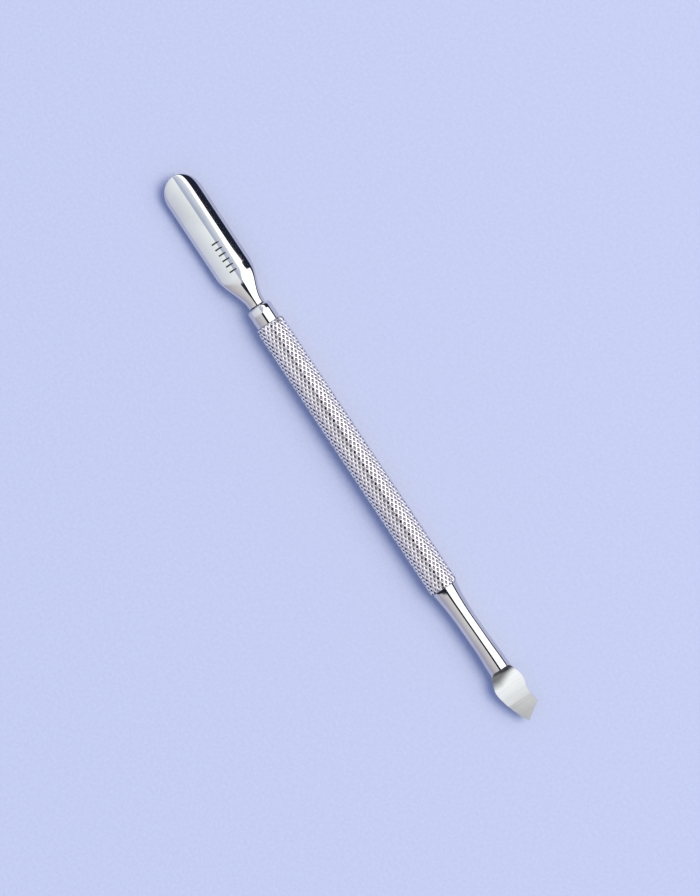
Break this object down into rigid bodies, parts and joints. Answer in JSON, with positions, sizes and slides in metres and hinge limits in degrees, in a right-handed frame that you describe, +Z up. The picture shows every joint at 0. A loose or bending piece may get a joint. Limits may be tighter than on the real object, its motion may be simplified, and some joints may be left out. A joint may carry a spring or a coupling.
{
  "type": "cuticle pusher",
  "caption": "Double-ended steel cuticle pusher: curved pusher spoon at one end, slanted scraping blade at the other, knurled grip between.",
  "frame": {"origin": "on the table under the middle of the tool's length and width, as it lies with the spoon's hollow side down", "axes": "+X along the tool to the spoon's tip, +Z up, the blade at -X"},
  "size_m": [0.13, 0.008, 0.0061],
  "materials": {
    "knurled_steel": "stainless steel with a rolled diamond knurl",
    "polished_steel": "mirror-polished stainless steel, ground across on the blade's faces"
  },
  "bodies": {
    "root": {"grip_tube": "knurled_steel", "spoon_ferrule": "polished_steel", "spoon_pusher": "polished_steel", "blade_shank": "polished_steel"}
  },
  "joints": []
}
